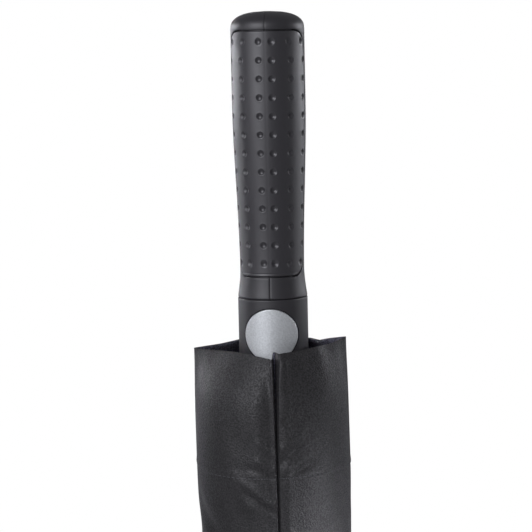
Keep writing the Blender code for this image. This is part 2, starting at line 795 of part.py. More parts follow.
def make_housing(plastic):
    inner = HOUSING_R - HOUSING_WALL
    top = COLLAR_Z - GAP
    mouth_r = RUNNER_TAIL_R + 2 * RUNNING
    ease = 0.6 * MM
    profile = [
        (BORE_R, top),
        (HOUSING_R - ease, top),
        (HOUSING_R, top - ease),
        (HOUSING_R, HOUSING_Z + ease),
        (HOUSING_R - ease, HOUSING_Z),
        (mouth_r, HOUSING_Z),
        (mouth_r, HOUSING_Z + RIM_LEDGE - RUNNING),
        (inner, HOUSING_Z + RIM_LEDGE - RUNNING),
        (inner, top - HOUSING_ROOF),
        (BORE_R, top - HOUSING_ROOF),
    ]
    hole = cylinder(
        BUTTON_R + BUTTON_GAP, (0, -2 * HOUSING_R, BUTTON_Z), (0, -BORE_R, BUTTON_Z), 40
    )
    link("button_housing", cut(turned(profile, 48), hole), plastic)


def make_button(silver, steel):
    """The button, its return spring, and the catch spring that holds the runner's lip."""
    parent = pivot("button_slide", Matrix.Translation((0, 0, BUTTON_Z)))
    disc = cylinder(BUTTON_R, (0, -2 * HOUSING_R, BUTTON_Z), (0, -BUTTON_BACK, BUTTON_Z), 40)
    skin_r = HOUSING_R + BUTTON_PROUD
    skin = cylinder(skin_r, (0, 0, BUTTON_Z - 2 * BUTTON_R), (0, 0, BUTTON_Z + 2 * BUTTON_R), 48)
    face = keep(disc, skin)
    inner = HOUSING_R - HOUSING_WALL
    lug_half = 4.0 * MM
    lug_front = math.sqrt(inner**2 - lug_half**2) - RUNNING
    lug_tip = BUTTON_R + BUTTON_GAP + 1.3 * MM
    lugs = block(
        (-lug_half, -lug_front, BUTTON_Z - lug_tip), (lug_half, -BUTTON_BACK, BUTTON_Z + lug_tip)
    )
    pocket = cylinder(
        BUTTON_POCKET_R,
        (0, -BUTTON_POCKET_FLOOR, BUTTON_Z),
        (0, -BUTTON_BACK + 2 * MM, BUTTON_Z),
        20,
    )
    link("button", cut(join(face, lugs), pocket), silver, parent)
    coil(
        "button_spring",
        BUTTON_SPRING_R,
        BUTTON_SPRING_WIRE_R,
        (0, -BUTTON_POCKET_FLOOR + GAP, BUTTON_Z),
        (0, -SHAFT_R - GAP, BUTTON_Z),
        BUTTON_SPRING_TURNS,
        12,
        steel,
    )
    window_r = RUNNER_TAIL_R + GAP
    ring_r = inner - CATCH_BITE - GAP - RUNNING
    top = CATCH_Z + CATCH_THICKNESS
    ring = turned([(window_r, CATCH_Z), (ring_r, CATCH_Z), (ring_r, top), (window_r, top)])
    ring.transform(Matrix.Translation((0, -CATCH_BITE - GAP, 0)))
    stem_front = CATCH_BITE + GAP + ring_r - 0.3 * MM
    stem = block(
        (-3 * MM, -stem_front, CATCH_Z),
        (3 * MM, -stem_front + 1.2 * MM, BUTTON_Z - lug_tip - GAP),
    )
    link("catch_spring", join(ring, stem), steel, parent)


def make_opening_spring(steel):
    coil(
        "opening_spring",
        OPENING_SPRING_R - OPENING_SPRING_WIRE_R,
        OPENING_SPRING_WIRE_R,
        (0, 0, RUNNER_PIN_Z + PLUNGER_HALF_LENGTH + GAP),
        (0, 0, HANDLE_PIN_Z - HANDLE_PIN_R - GAP),
        OPENING_SPRING_TURNS,
        10,
        steel,
    )


def main():
    clear_scene()
    plastic = material("handle_plastic", (0.045, 0.043, 0.046), 0.5)
    rubber = material("grip_rubber", (0.047, 0.046, 0.05), 0.6)
    silver = material("button_silver", (0.5, 0.51, 0.53), 0.38, 0.8)
    tube = material("shaft_steel", (0.03, 0.03, 0.032), 0.35, 0.6)
    steel = material("bright_steel", (0.62, 0.62, 0.63), 0.3, 1.0)
    black = material("frame_plastic", (0.02, 0.02, 0.021), 0.45)
    glass_fibre = material("rib_glass_fibre", (0.03, 0.03, 0.032), 0.3)
    cloth = material("canopy_cloth", (0.028, 0.028, 0.03), 0.75)
    sleeve_cloth = material("sleeve_cloth", (0.06, 0.058, 0.062), 0.8)
    make_shaft(tube)
    make_ferrule(black)
    make_rain_cap(black)
    make_notch(black)
    pivot_wire(steel, "notch_ring", NOTCH_Z)
    runner_place = Matrix.Translation((PIVOT_R, 0, RUNNER_Z))
    make_runner(black, steel, pivot("runner_pivot", runner_place))
    make_ribs(glass_fibre, black, black, steel)
    make_canopy(cloth)
    make_tie_strap(cloth)
    make_sleeve(sleeve_cloth)
    make_handle(plastic, rubber, steel)
    make_housing(plastic)
    make_button(silver, steel)
    make_opening_spring(steel)


main()
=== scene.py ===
"""Looks for the golf umbrella: handle, button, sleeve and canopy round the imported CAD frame.

It also makes the floor, the lights and the camera. Metres, +Z up. The button faces -Y. Drops are
distances below the handle's top, as in the CAD part.
"""

import math

import bmesh
import bpy
import numpy as np
from mathutils import Matrix, Vector

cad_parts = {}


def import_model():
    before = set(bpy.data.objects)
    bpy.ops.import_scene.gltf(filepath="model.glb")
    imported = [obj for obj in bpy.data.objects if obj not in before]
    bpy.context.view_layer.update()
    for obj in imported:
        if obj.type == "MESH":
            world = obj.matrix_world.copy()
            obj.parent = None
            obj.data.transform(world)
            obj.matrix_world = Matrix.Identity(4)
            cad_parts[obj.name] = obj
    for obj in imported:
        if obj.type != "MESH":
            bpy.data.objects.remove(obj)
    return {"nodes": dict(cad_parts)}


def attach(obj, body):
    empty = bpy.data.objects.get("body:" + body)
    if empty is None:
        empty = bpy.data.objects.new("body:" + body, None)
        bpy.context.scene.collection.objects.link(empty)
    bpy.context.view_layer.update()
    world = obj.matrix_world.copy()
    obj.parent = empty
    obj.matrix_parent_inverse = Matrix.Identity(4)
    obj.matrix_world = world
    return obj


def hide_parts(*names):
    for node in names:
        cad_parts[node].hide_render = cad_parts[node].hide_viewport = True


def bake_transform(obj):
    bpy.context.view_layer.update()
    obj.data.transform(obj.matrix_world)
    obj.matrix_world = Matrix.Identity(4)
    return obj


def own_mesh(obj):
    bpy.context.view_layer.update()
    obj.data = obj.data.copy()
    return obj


MM = 0.001

# Handle, the same sizes as in the CAD part
TOP_Z = 1000 * MM
TOP_R = 18.75 * MM
WAIST_R = 16.4 * MM
HOUSING_R = 17.85 * MM
CROWN_HEIGHT = 9.0 * MM
CROWN_POWER = 2.5
TAPER_START = 45.0 * MM
GRIP_TOP = 9.3 * MM
GRIP_BOTTOM = 134.2 * MM
GRIP_HALF_ANGLE = math.radians(82.0)
GRIP_CORNER = 11.0 * MM
GRIP_GROOVE = 0.8 * MM
COLLAR_DROP = 145.0 * MM
HOUSING_Z = 790.0 * MM
HOUSING_BORE_R = 15.55 * MM
HOUSING_LEDGE = 2.6 * MM
BUTTON_Z = 836.6 * MM
BUTTON_R = 13.4 * MM
BUTTON_GAP = 0.6 * MM
BUTTON_FACE_R = 18.15 * MM
DIMPLE_R = 1.7 * MM
DIMPLE_DEPTH = 0.9 * MM
DIMPLE_ROWS = 13
DIMPLE_FIRST = 15.3 * MM
DIMPLE_PITCH = 9.3 * MM

# Sleeve
RIM_Z = 828.5 * MM
SLEEVE_R = 38.9 * MM
SLEEVE_FOOT_Z = 44.0 * MM
SLEEVE_FOOT_R = 20.0 * MM
STITCH_Z = 767.0 * MM

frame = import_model()
nodes = frame["nodes"]


# ---------------------------------------------------------------- materials


def shader_of(name):
    made = bpy.data.materials.new(name)
    made.use_nodes = True
    return made, made.node_tree, made.node_tree.nodes["Principled BSDF"]


def plain(name, colour, roughness, metallic=0.0, specular=0.5, coat=0.0, coat_roughness=0.2):
    made, _, shader = shader_of(name)
    shader.inputs["Base Color"].default_value = (*colour, 1)
    shader.inputs["Roughness"].default_value = roughness
    shader.inputs["Metallic"].default_value = metallic
    shader.inputs["Specular IOR Level"].default_value = specular
    shader.inputs["Coat Weight"].default_value = coat
    shader.inputs["Coat Roughness"].default_value = coat_roughness
    return made


def grained(
    name, colour, roughness, scale, bump, distance, metallic=0.0, specular=0.5, spread=0.06, tone=0.07
):
    """A moulded or brushed surface: one colour with a fine grain in roughness and height."""
    made, tree, shader = shader_of(name)
    shader.inputs["Metallic"].default_value = metallic
    shader.inputs["Specular IOR Level"].default_value = specular
    place = tree.nodes.new("ShaderNodeTexCoord")
    noise = tree.nodes.new("ShaderNodeTexNoise")
    noise.inputs["Scale"].default_value = scale
    noise.inputs["Detail"].default_value = 3
    tree.links.new(place.outputs["Object"], noise.inputs["Vector"])
    tint = tree.nodes.new("ShaderNodeMix")
    tint.data_type = "RGBA"
    tint.inputs["A"].default_value = (*[c * (1 - tone) for c in colour], 1)
    tint.inputs["B"].default_value = (*[c * (1 + tone) for c in colour], 1)
    tree.links.new(noise.outputs["Fac"], tint.inputs["Factor"])
    tree.links.new(tint.outputs["Result"], shader.inputs["Base Color"])
    rough = tree.nodes.new("ShaderNodeMapRange")
    rough.inputs["To Min"].default_value = roughness - spread
    rough.inputs["To Max"].default_value = roughness + spread
    tree.links.new(noise.outputs["Fac"], rough.inputs["Value"])
    tree.links.new(rough.outputs["Result"], shader.inputs["Roughness"])
    relief = tree.nodes.new("ShaderNodeBump")
    relief.inputs["Strength"].default_value = bump
    relief.inputs["Distance"].default_value = distance
    tree.links.new(noise.outputs["Fac"], relief.inputs["Height"])
    tree.links.new(relief.outputs["Normal"], shader.inputs["Normal"])
    return made


def cloth(name, colour, grain, bump, sheen=0.3, roughness=0.75, specular=0.35):
    """Fine woven cloth: a fine noise grain mixed with a broad mottle in colour and roughness, and the fine
    grain in height.
    """
    made, tree, shader = shader_of(name)
    shader.inputs["Specular IOR Level"].default_value = specular
    shader.inputs["Sheen Weight"].default_value = sheen
    shader.inputs["Sheen Roughness"].default_value = 0.45
    shader.inputs["Sheen Tint"].default_value = (0.8, 0.8, 0.85, 1)
    place = tree.nodes.new("ShaderNodeTexCoord")
    fine = tree.nodes.new("ShaderNodeTexNoise")
    fine.inputs["Scale"].default_value = grain
    fine.inputs["Detail"].default_value = 1.5
    fine.inputs["Roughness"].default_value = 0.6
    tree.links.new(place.outputs["Object"], fine.inputs["Vector"])
    broad = tree.nodes.new("ShaderNodeTexNoise")
    broad.inputs["Scale"].default_value = 45
    broad.inputs["Detail"].default_value = 4
    tree.links.new(place.outputs["Object"], broad.inputs["Vector"])
    both = tree.nodes.new("ShaderNodeMix")
    both.data_type = "FLOAT"
    both.inputs["Factor"].default_value = 0.2
    tree.links.new(fine.outputs["Fac"], both.inputs["A"])
    tree.links.new(broad.outputs["Fac"], both.inputs["B"])
    ramp = tree.nodes.new("ShaderNodeMapRange")
    ramp.inputs["From Min"].default_value = 0.4
    ramp.inputs["From Max"].default_value = 0.6
    tree.links.new(both.outputs["Result"], ramp.inputs["Value"])
    rough = tree.nodes.new("ShaderNodeMapRange")
    rough.inputs["To Min"].default_value = roughness + 0.1
    rough.inputs["To Max"].default_value = roughness - 0.08
    tree.links.new(ramp.outputs["Result"], rough.inputs["Value"])
    tree.links.new(rough.outputs["Result"], shader.inputs["Roughness"])
    tint = tree.nodes.new("ShaderNodeMix")
    tint.data_type = "RGBA"
    tint.inputs["A"].default_value = (*[c * 0.2 for c in colour], 1)
    tint.inputs["B"].default_value = (*[c * 1.8 for c in colour], 1)
    tree.links.new(ramp.outputs["Result"], tint.inputs["Factor"])
    tree.links.new(tint.outputs["Result"], shader.inputs["Base Color"])
    relief = tree.nodes.new("ShaderNodeBump")
    relief.inputs["Strength"].default_value = bump
    relief.inputs["Distance"].default_value = 0.0003
    tree.links.new(fine.outputs["Fac"], relief.inputs["Height"])
    tree.links.new(relief.outputs["Normal"], shader.inputs["Normal"])
    return made


HANDLE = grained("handle plastic", (0.013, 0.012, 0.0145), 0.5, 2600, 0.12, 0.00005, specular=0.66)
RUBBER = grained("grip rubber", (0.014, 0.013, 0.016), 0.44, 2600, 0.16, 0.00006, specular=0.8)
SILVER = grained("silver button", (0.56, 0.58, 0.585), 0.5, 1300, 0.5, 0.00008, metallic=0.55, tone=0.3)
SLEEVE = cloth("sleeve cloth", (0.0098, 0.0092, 0.0098), 1250, 1.0, sheen=0.1, roughness=0.54, specular=0.44)
SLEEVE_INSIDE = cloth("sleeve lining", (0.055, 0.053, 0.075), 1900, 0.4, sheen=0.1)
THREAD = plain("thread", (0.055, 0.055, 0.06), 0.7)
CANOPY = cloth("canopy cloth", (0.012, 0.012, 0.0135), 2400, 0.3, sheen=0.2, roughness=0.6)
TUBE = plain("shaft enamel", (0.012, 0.012, 0.013), 0.3, coat=0.4)
STEEL = grained("bright steel", (0.6, 0.6, 0.61), 0.28, 800, 0.1, 0.00003, metallic=1.0)
MOULDED = grained("frame plastic", (0.012, 0.012, 0.0125), 0.45, 1800, 0.1, 0.00005)
FIBRE = plain("glass fibre", (0.015, 0.015, 0.016), 0.25, coat=0.3)


def repaint(names, finish):
    for name in names:
        mesh = nodes[name].data
        mesh.materials.clear()
        mesh.materials.append(finish)


repaint([n for n in nodes if n.startswith(("stretcher", "notch_ring", "runner_ring"))], STEEL)
repaint(["spring_plunger", "opening_spring", "button_spring", "catch_spring", "handle_pin"], STEEL)
repaint(["shaft"], TUBE)
repaint(["ferrule", "rain_cap", "notch", "runner"], MOULDED)
repaint([n for n in nodes if n.startswith(("rib_clip", "rib_tip"))], MOULDED)
repaint([n for n in nodes if n.startswith("rib_") and n[4:].isdigit()], FIBRE)
repaint([n for n in nodes if n.startswith("canopy") or n == "tie_strap"], CANOPY)
repaint(["handle_shell_left", "handle_shell_right", "button_housing"], HANDLE)
repaint(["grip_front", "grip_back"], RUBBER)
repaint(["button"], SILVER)
repaint(["sleeve"], SLEEVE)


# ---------------------------------------------------------------- mesh helpers


def add(name, points, faces, finishes, face_finish=None, sharp=40):
    mesh = bpy.data.meshes.new(name)
    mesh.from_pydata([tuple(p) for p in points], [], faces)
    if not isinstance(finishes, (list, tuple)):
        finishes = [finishes]
    for finish in finishes:
        mesh.materials.append(finish)
    if face_finish is not None:
        mesh.polygons.foreach_set("material_index", face_finish)
    mesh.validate()
    mesh.shade_smooth()
    if sharp:
        mesh.set_sharp_from_angle(angle=math.radians(sharp))
    obj = bpy.data.objects.new(name, mesh)
    bpy.context.scene.collection.objects.link(obj)
    return obj


def outward(obj):
    bm = bmesh.new()
    bm.from_mesh(obj.data)
    bmesh.ops.recalc_face_normals(bm, faces=bm.faces)
    bm.to_mesh(obj.data)
    bm.free()
    return obj


def grid_faces(rows, columns, wrap=False, start=0):
    """Quads over a grid of points numbered row by row."""
    faces = []
    last = columns if wrap else columns - 1
    for i in range(rows - 1):
        for j in range(last):
            a = start + i * columns + j
            b = start + i * columns + (j + 1) % columns
            faces.append((a, b, b + columns, a + columns))
    return faces


def smooth(low, high, value):
    t = np.clip((value - low) / (high - low), 0, 1)
    return t * t * (3 - 2 * t)


def handle_r(drop):
    """The handle's radius at distances below its top."""
    drop = np.asarray(drop, float)
    share = np.clip(1 - drop / CROWN_HEIGHT, 0, 1)
    crown = TOP_R * (1 - share**CROWN_POWER) ** (1 / CROWN_POWER)
    waist = GRIP_BOTTOM - 3 * MM
    taper = TOP_R - (TOP_R - WAIST_R) * smooth(TAPER_START, waist, drop)
    flare = np.clip((drop - waist) / (COLLAR_DROP - waist), 0, 1)
    collar = WAIST_R + (HOUSING_R - WAIST_R) * flare**1.6
    return np.where(drop < CROWN_HEIGHT, crown, np.where(drop < waist, taper, collar))


def panel_distance(u, v, inset=0.0):
    """Signed distance to a grip panel's outline on the unrolled handle, negative inside."""
    half = GRIP_HALF_ANGLE * TOP_R - inset
    middle = (GRIP_TOP + GRIP_BOTTOM) / 2
    tall = (GRIP_BOTTOM - GRIP_TOP) / 2 - inset
    corner = GRIP_CORNER - inset
    dx = np.abs(u) - (half - corner)
    dy = np.abs(v - middle) - (tall - corner)
    outside = np.hypot(np.maximum(dx, 0), np.maximum(dy, 0))
    return outside + np.minimum(np.maximum(dx, dy), 0) - corner


def rolled(angle, drop, radius):
    """Points on the handle: angle from the front (-Y) towards +X."""
    x = radius * np.sin(angle)
    y = -radius * np.cos(angle)
    return np.stack([x, y, TOP_Z - drop], -1)


# ---------------------------------------------------------------- handle shells


def shell(side):
    """One half of the hard shell: the crowned end, the strip between the grips and the flared collar."""
    edge = GRIP_HALF_ANGLE
    seam = 0.09 * MM / TOP_R
    fine = 0.34 * MM / TOP_R
    corner = GRIP_CORNER / TOP_R
    quarter = np.concatenate(
        [
            [seam, seam + 0.008],
            np.arange(0.06, edge - corner - 0.02, 0.06),
            np.arange(edge - corner - 0.01, edge - 0.002, fine),
            [edge - 0.0009, edge, edge + 0.006],
            np.linspace(edge + 0.02, math.pi / 2, 8),
        ]
    )
    angles = np.concatenate([quarter, math.pi - quarter[-2::-1]])
    up, down = GRIP_TOP, GRIP_BOTTOM
    drops = np.concatenate(
        [
            CROWN_HEIGHT * (1 - np.linspace(1, 0, 18) ** 0.55)[:-1] * 1.0 + 0.00001,
            [CROWN_HEIGHT, up - 0.0001, up, up + 0.00003],
            np.arange(up + 0.0003, up + GRIP_CORNER + 0.0004, 0.00034),
            np.linspace(up + GRIP_CORNER + 0.002, down - GRIP_CORNER - 0.002, 24),
            np.arange(down - GRIP_CORNER - 0.0004, down - 0.0003, 0.00034),
            [down - 0.00003, down, down + 0.0001],
            np.linspace(down + 0.0006, COLLAR_DROP - 0.0006, 14),
            [COLLAR_DROP - 0.0003, COLLAR_DROP - 0.0001, COLLAR_DROP],
        ]
    )
    a, d = np.meshgrid(angles, drops)
    front = np.where(a > math.pi / 2, math.pi - a, a)
    u = front * TOP_R
    away = panel_distance(u, d)
    # Points close to the pocket's rounded corner move onto it, so that its edge is a clean curve.
    step = 0.05 * MM
    gu = (panel_distance(u + step, d) - panel_distance(u - step, d)) / (2 * step)
    gv = (panel_distance(u, d + step) - panel_distance(u, d - step)) / (2 * step)
    near = (np.abs(away) < 0.17 * MM) & (np.abs(gu) > 0.05) & (np.abs(gv) > 0.05)
    u2 = np.where(near, u - gu * away, u)
    d2 = np.where(near, d - gv * away, d)
    front2 = u2 / TOP_R
    a2 = np.where(a > math.pi / 2, math.pi - front2, front2)
    away2 = panel_distance(u2, d2)
    inside = away2 < -0.01 * MM
    r = handle_r(d2)
    r = r - np.where(inside, 1.9 * MM, 0)
    r = r - 0.12 * MM * np.exp(-((np.abs(away2) / (0.12 * MM)) ** 2)) * (~inside)
    ease = np.clip((d2 - (COLLAR_DROP - 0.5 * MM)) / (0.5 * MM), 0, 1)
    r = r - 0.35 * MM * ease**2
    seam_edge = np.minimum(a2, math.pi - a2) * TOP_R
    parting = np.where(d2 > GRIP_BOTTOM, 0.14, 0.05) * MM
    r = r - parting * np.exp(-((seam_edge / (0.16 * MM)) ** 2))
    points = rolled(a2 * side, d2, r)
    points[..., 2] = np.minimum(points[..., 2], TOP_Z)
    rows, columns = a.shape
    points = points.reshape(-1, 3)
    faces = grid_faces(rows, columns)
    # The inner skin closes the half into a solid, far enough in to stay out of sight.
    inner_r = np.minimum(12.0 * MM, np.maximum(handle_r(drops) - 2.6 * MM, 0.02 * MM))
    inner_z = np.minimum(TOP_Z - drops, TOP_Z - 1.5 * MM)
    inner = []
    for radius, z in zip(inner_r, inner_z):
        for angle in angles:
            inner.append((radius * math.sin(angle * side), -radius * math.cos(angle), z))
    start = len(points)
    faces += [tuple(reversed(f)) for f in grid_faces(rows, columns, start=start)]
    for j in range(columns - 1):
        faces.append((j + 1, j, start + j, start + j + 1))
        low = (rows - 1) * columns
        faces.append((low + j, low + j + 1, start + low + j + 1, start + low + j))
    for i in range(rows - 1):
        p, q = i * columns, (i + 1) * columns
        faces.append((p, q, start + q, start + p))
        p, q = p + columns - 1, q + columns - 1
        faces.append((q, p, start + p, start + q))
    hand = "right" if side > 0 else "left"
    obj = add(f"handle_shell_{hand}_skin", list(points) + inner, faces, HANDLE, sharp=35)
    return outward(obj)


for side, name in ((1, "handle_shell_right"), (-1, "handle_shell_left")):
    half = shell(side)
    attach(half, "handle_and_shaft")
    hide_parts(name)


# ---------------------------------------------------------------- grips


def dimples():
    """The centres of one panel's dimples, as angle from the panel's middle and drop."""
    bow = [-1.6, 2.6, 1.8, 1.0, 0.5, 0.2, 0.0, 0.2, 0.4, 0.9, 1.6, 2.4, -1.6]
    for i in range(DIMPLE_ROWS):
        drop = DIMPLE_FIRST + DIMPLE_PITCH * i
        for side in (-1, 1):
            yield math.radians(10.0) * side, drop
            yield math.radians(39.6 + bow[i]) * side, drop
            yield math.radians(min(68.8 + 1.8 * bow[i], 74.5)) * side, drop


def grip(name, turn, node):
    inset = GRIP_GROOVE
    half = GRIP_HALF_ANGLE * TOP_R - inset
    top, bottom = GRIP_TOP + inset, GRIP_BOTTOM - inset
    corner = GRIP_CORNER - inset
    rows = np.concatenate(
        [
            top + corner * (1 - np.cos(np.linspace(0, math.pi / 2, 26))),
            np.arange(top + corner + 0.0003, bottom - corner - 0.0002, 0.0003),
            bottom - corner * (1 - np.cos(np.linspace(math.pi / 2, 0, 26))),
        ]
    )
    edges = np.array([0.03, 0.08, 0.16, 0.28, 0.42, 0.6]) * MM
    spread = np.arange(-half + 0.8 * MM, half - 0.8 * MM, 0.0003)
    share = np.concatenate([[-half], -half + edges, spread, (half - edges)[::-1], [half]]) / half
    over = np.maximum(np.maximum(top + corner - rows, rows - (bottom - corner)), 0)
    width = half - corner + np.sqrt(np.maximum(corner**2 - over**2, 0))
    u = width[:, None] * share[None, :]
    v = np.repeat(rows[:, None], len(share), 1)
    height = handle_r(v)
    # Rolled edge all round
    depth_in = np.clip(-panel_distance(u, v, inset), 0, None)
    roll = 0.5 * MM
    height = height - (roll - np.sqrt(np.maximum(roll**2 - np.clip(roll - depth_in, 0, roll) ** 2, 0))) * 0.8
    height = height + 0.05 * MM
    for angle, drop in dimples():
        du = u - angle * TOP_R
        dv = v - drop
        # The dimples are round on the handle itself, which is a little narrower than its crowned end.
        narrower = handle_r(drop) / TOP_R
        rho = np.hypot(du * narrower, dv) / DIMPLE_R
        bowl = np.where(rho < 1, (1 - np.minimum(rho, 1) ** 2) ** 0.9, 0)
        rim = np.exp(-(((rho - 1.12) / 0.16) ** 2))
        height = height - DIMPLE_DEPTH * bowl + 0.05 * MM * rim
    line = np.exp(-(((v - (bottom - 1.15 * MM)) / (0.16 * MM)) ** 2))
    line = line * smooth(half - 2 * MM, half - 5 * MM, np.abs(u))
    height = height - 0.28 * MM * line
    height = height - 0.035 * MM * np.exp(-((u / (0.28 * MM)) ** 2))
    points = rolled(u / TOP_R + turn, v, height)
    count_rows, columns = u.shape
    points = points.reshape(-1, 3)
    faces = grid_faces(count_rows, columns)
    # A skirt from the rolled edge down into the pocket.
    ring = [j for j in range(columns)]
    ring += [i * columns + columns - 1 for i in range(1, count_rows)]
    ring += [(count_rows - 1) * columns + j for j in range(columns - 2, -1, -1)]
    ring += [i * columns for i in range(count_rows - 2, 0, -1)]
    points = list(points)
    start = len(points)
    for index in ring:
        x, y, z = points[index]
        r = math.hypot(x, y)
        scale = (r - 1.5 * MM) / r
        points.append((x * scale, y * scale, z))
    count = len(ring)
    for i in range(count):
        j = (i + 1) % count
        faces.append((ring[j], ring[i], start + i, start + j))
    obj = add(name, points, faces, RUBBER, sharp=50)
    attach(obj, "handle_and_shaft")
    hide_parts(node)


grip("grip_front_skin", 0.0, "grip_front")
grip("grip_back_skin", math.pi, "grip_back")


# ---------------------------------------------------------------- housing and button


def housing():
    hole = BUTTON_R + BUTTON_GAP
    around = math.asin(hole / HOUSING_R)
    step = 0.4 * MM / HOUSING_R
    front = np.arange(-around - 3 * step, around + 3 * step, step)
    rest = np.linspace(front[-1], math.tau + front[0], 60)[1:-1]
    angles = np.concatenate([front, rest])
    top = TOP_Z - COLLAR_DROP - 0.3 * MM
    high = np.array([0, 0.05, 0.12, 0.22, 0.36, 0.55, 0.8, 1.4]) * MM
    z = np.concatenate(
        [
            top - high,
            np.arange(top - 2 * MM, BUTTON_Z + hole + 1.2 * MM, -0.0012),
            np.arange(BUTTON_Z + hole + 1 * MM, BUTTON_Z - hole - 1 * MM, -0.0004),
            np.linspace(BUTTON_Z - hole - 1.4 * MM, HOUSING_Z + 0.8 * MM, 8),
            [HOUSING_Z + 0.3 * MM, HOUSING_Z],
        ]
    )
    a, h = np.meshgrid(angles, z)
    facing = np.cos(a) > 0
    flat = HOUSING_R * np.sin(a)
    away = np.hypot(flat, h - BUTTON_Z) - hole
    length = np.hypot(flat, h - BUTTON_Z) + 1e-9
    near = (np.abs(away) < 0.2 * MM) & facing
    flat2 = np.where(near, flat - away * flat / length, flat)
    h2 = np.where(near, h - away * (h - BUTTON_Z) / length, h)
    a2 = np.where(near, np.arcsin(np.clip(flat2 / HOUSING_R, -1, 1)), a)
    away2 = np.where(facing, np.hypot(flat2, h2 - BUTTON_Z) - hole, 1)
    inside = away2 < -0.01 * MM
    edge = np.clip(0.6 * MM - (top - h2), 0, None)
    r = HOUSING_R - (0.6 * MM - np.sqrt(np.maximum((0.6 * MM) ** 2 - edge**2, 0)))
    r = np.where(inside, r - 2.1 * MM, r)
    r = np.where(h2 < HOUSING_Z + 0.1 * MM, r - 0.4 * MM, r)
    x, y = r * np.sin(a2), -r * np.cos(a2)
    rows, columns = a.shape
    points = list(np.stack([x, y, h2], -1).reshape(-1, 3))
    faces = grid_faces(rows, columns, wrap=True)
    # Inner skin, open at the mouth where the runner's tail goes in
    start = len(points)
    inner = (
        (7.3 * MM, top),
        (7.3 * MM, top - 2.0 * MM),
        (HOUSING_BORE_R, top - 2.0 * MM),
        (HOUSING_BORE_R, HOUSING_Z + HOUSING_LEDGE),
        (11.8 * MM, HOUSING_Z + HOUSING_LEDGE),
        (11.8 * MM, HOUSING_Z),
    )
    for radius, height in inner:
        for angle in angles:
            points.append((radius * math.sin(angle), -radius * math.cos(angle), height))
    faces += [tuple(reversed(f)) for f in grid_faces(len(inner), columns, wrap=True, start=start)]
    low = (rows - 1) * columns
    for j in range(columns):
        k = (j + 1) % columns
        faces.append((k, j, start + j, start + k))
        last = start + (len(inner) - 1) * columns
        faces.append((low + j, low + k, last + k, last + j))
    obj = outward(add("button_housing_skin", points, faces, HANDLE, sharp=35))
    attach(obj, "handle_and_shaft")
    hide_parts("button_housing")


def button():
    turns = 120
    rings = [0.0001, 0.15, 0.35, 0.55, 0.75, 0.88, 0.95, 0.968, 0.98, 0.99, 0.996, 1.0]
    points, faces = [], []
    for share in rings:
        rho = BUTTON_R * share
        lower = 0.0
        if share > 0.968:
            t = (share - 0.968) / 0.032
            lower = 0.42 * MM * (1 - math.sqrt(max(1 - t * t, 0)))
        for k in range(turns):
            angle = math.tau * k / turns
            x, z = rho * math.cos(angle), rho * math.sin(angle)
            y = -math.sqrt(BUTTON_FACE_R**2 - x * x) + lower
            points.append((x, y, BUTTON_Z + z))
    for y in (-9.8 * MM,):
        for k in range(turns):
            angle = math.tau * k / turns
            points.append((BUTTON_R * math.cos(angle), y, BUTTON_Z + BUTTON_R * math.sin(angle)))
    total = len(rings) + 1
    faces = grid_faces(total, turns, wrap=True)
    faces.append(tuple(range(turns - 1, -1, -1)))
    faces.append(tuple((total - 1) * turns + k for k in range(turns)))
    obj = outward(add("button_skin", points, faces, SILVER, sharp=50))
    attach(obj, "button")
    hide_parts("button")


housing()
button()


# ---------------------------------------------------------------- sleeve


def ridge(u, z, start, end, height, width):
    """A soft fold of the cloth along a line on the unrolled sleeve, in millimetres."""
    u0, z0 = start
    u1, z1 = end
    length = math.hypot(u1 - u0, z1 - z0)
    tu, tz = (u1 - u0) / length, (z1 - z0) / length
    along = (u - u0) * tu + (z - z0) * tz
    across = -(u - u0) * tz + (z - z0) * tu
    ends = smooth(-0.25 * length, 0.2 * length, along) * smooth(1.25 * length, 0.8 * length, along)
    return height * ends * np.exp(-((across / width) ** 2))


def section(angles, corners):
    """The radius, at each angle from the front towards +X, of a closed outline with softened corners."""
    wide = np.linspace(-math.pi, math.pi, 1440, endpoint=False)
    radius = np.full(len(wide), 0.0)
    for (x0, y0), (x1, y1) in zip(corners, corners[1:] + corners[:1]):
        dx, dy = np.sin(wide), -np.cos(wide)
        ex, ey = x1 - x0, y1 - y0
        under = dx * ey - dy * ex
        under = np.where(np.abs(under) < 1e-9, 1e-9, under)
        along = (x0 * ey - y0 * ex) / under
        share = (x0 * dy - y0 * dx) / under
        hit = (along > 0) & (share >= -1e-6) & (share <= 1 + 1e-6)
        radius = np.where(hit, np.maximum(radius, along), radius)
    kernel = np.exp(-((np.arange(-24, 25) / 11.0) ** 2))
    kernel /= kernel.sum()
    padded = np.concatenate([radius[-24:], radius, radius[:24]])
    soft = np.convolve(padded, kernel, mode="valid")
    return np.interp(angles, wide, soft, period=math.tau)


